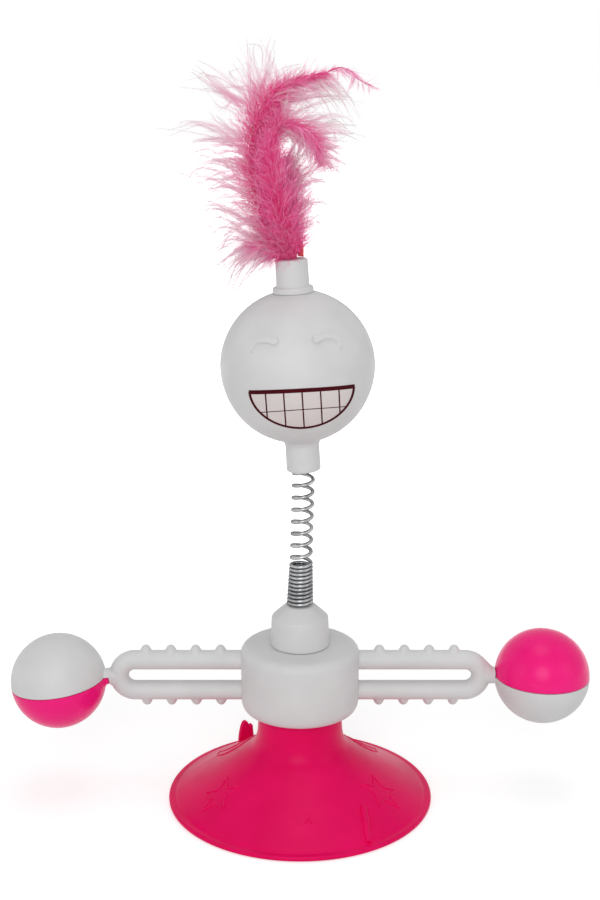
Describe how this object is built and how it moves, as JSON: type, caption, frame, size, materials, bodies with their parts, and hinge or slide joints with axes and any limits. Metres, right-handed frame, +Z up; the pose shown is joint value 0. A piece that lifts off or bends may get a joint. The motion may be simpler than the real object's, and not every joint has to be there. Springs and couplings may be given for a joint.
{
  "type": "spinning cat toy",
  "caption": "Suction-cup cat toy: a spinning hub with two looped arms ending in balls, and a smiling head with a feather plume on a spring.",
  "frame": {"origin": "middle of the suction cup's rim, on the surface that it stands on", "axes": "+Z up along the spin axis, +X along the right-hand arm as pictured, the face looks towards -Y"},
  "size_m": [0.2162, 0.1, 0.2753],
  "materials": {
    "pink_rubber": "satin soft rubber",
    "white_plastic": "moulded satin gloss",
    "pink_plastic": "moulded gloss",
    "natural_plastic": "natural unpigmented",
    "steel": "zinc plated",
    "spring_steel": "bright wire",
    "brass": "pressed and polished",
    "quill": "horn",
    "red_thread": "wound thread",
    "feather": "dyed marabou down"
  },
  "bodies": {
    "base": {"suction_cup": "pink_rubber", "stem_insert": "natural_plastic", "axle_pin": "steel", "lower_washer": "natural_plastic"},
    "rotor": {"hub_housing": "white_plastic", "hub_cover": "white_plastic", "bearing_bush": "natural_plastic", "upper_washer": "natural_plastic", "cover_screw_1": "steel", "cover_screw_2": "steel", "cover_screw_3": "steel", "cover_screw_4": "steel", "arm_right": "white_plastic", "ball_cap_right": "pink_plastic", "bell_right": "brass", "arm_left": "white_plastic", "ball_cap_left": "pink_plastic", "bell_left": "brass", "seat_screw": "steel", "spring_seat": "white_plastic"},
    "spring": {"coil_spring": "spring_steel"},
    "head": {"head_front_shell": "white_plastic", "head_rear_shell": "white_plastic", "spring_plug": "natural_plastic", "feather_holder": "white_plastic", "feather_quill": "quill", "feather_binding": "red_thread", "feather_plume": "feather"}
  },
  "joints": [
    {"name": "hub_spin", "type": "hinge", "parent": "base", "child": "rotor", "pos_m": [0, 0, 0.049], "axis": [0, 0, 1], "continuous": true},
    {"name": "head_sway", "type": "hinge", "parent": "rotor", "child": "spring", "pos_m": [0.0003, 0, 0.096], "axis": [0, 1, 0], "range_deg": [-25, 25], "stiffness_Nm_per_rad": 0.12, "deforming": ["coil_spring"]},
    {"name": "head_nod", "type": "hinge", "parent": "spring", "child": "head", "pos_m": [0.0007, 0, 0.1195], "axis": [1, 0, 0], "range_deg": [-25, 25], "stiffness_Nm_per_rad": 0.12, "deforming": ["coil_spring"]}
  ]
}
